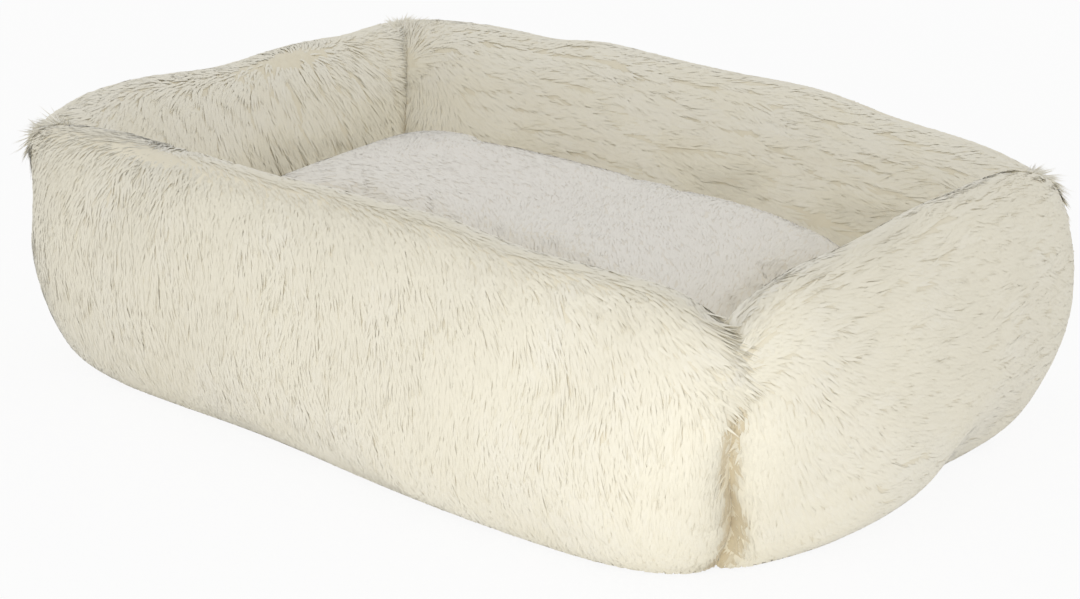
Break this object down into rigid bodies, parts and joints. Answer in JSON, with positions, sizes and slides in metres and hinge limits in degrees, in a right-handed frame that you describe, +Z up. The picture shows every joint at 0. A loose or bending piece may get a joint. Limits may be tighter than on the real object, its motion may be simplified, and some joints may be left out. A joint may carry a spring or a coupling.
{
  "type": "dog bed",
  "caption": "Rectangular plush dog bed with padded bolster walls sewn at the corners, round a loose crowned cushion with a zip in its back edge.",
  "frame": {"origin": "middle of the base on the floor, under the bed", "axes": "+X along the bed to its right end, +Y to its back wall, +Z up"},
  "size_m": [0.918, 0.6376, 0.25],
  "materials": {
    "plush": "long cream pile, combed in locks",
    "short_plush": "short dense white pile",
    "cloth": "plain woven cream cloth",
    "bottom_cloth": "coated woven cloth with small moulded dots",
    "wadding": "loose polyester fibre",
    "zip_tape": "woven tape with moulded teeth",
    "zip_metal": "satin nickel"
  },
  "bodies": {
    "walls": {"front_outer_panel": "plush", "front_inner_panel": "plush", "front_filling": "wadding", "right_outer_panel": "plush", "right_inner_panel": "plush", "right_filling": "wadding", "back_outer_panel": "plush", "back_inner_panel": "plush", "back_filling": "wadding", "left_outer_panel": "plush", "left_inner_panel": "plush", "left_filling": "wadding", "base_panel": "bottom_cloth", "base_wadding": "wadding", "floor_lining": "cloth"},
    "cushion": {"cushion_top_cover": "short_plush", "cushion_underside": "cloth", "cushion_filling": "wadding", "zip_upper_half": "zip_tape", "zip_lower_half": "zip_tape", "zip_end_stop": "zip_metal"},
    "slider": {"zip_slider": "zip_metal"},
    "pull": {"zip_pull": "zip_metal"}
  },
  "joints": [
    {"name": "cushion_lift", "type": "slide", "parent": "walls", "child": "cushion", "axis": [0, 0, 1], "range_m": [0, 0.26]},
    {"name": "zip_run", "type": "slide", "parent": "cushion", "child": "slider", "axis": [-1, 0, 0], "range_m": [0, 0.252], "deforming": ["zip_upper_half", "zip_lower_half"]},
    {"name": "pull_swing", "type": "hinge", "parent": "slider", "child": "pull", "pos_m": [0.12995, 0.14046, 0.1165], "axis": [0, 0, -1], "range_deg": [0, 26]}
  ]
}
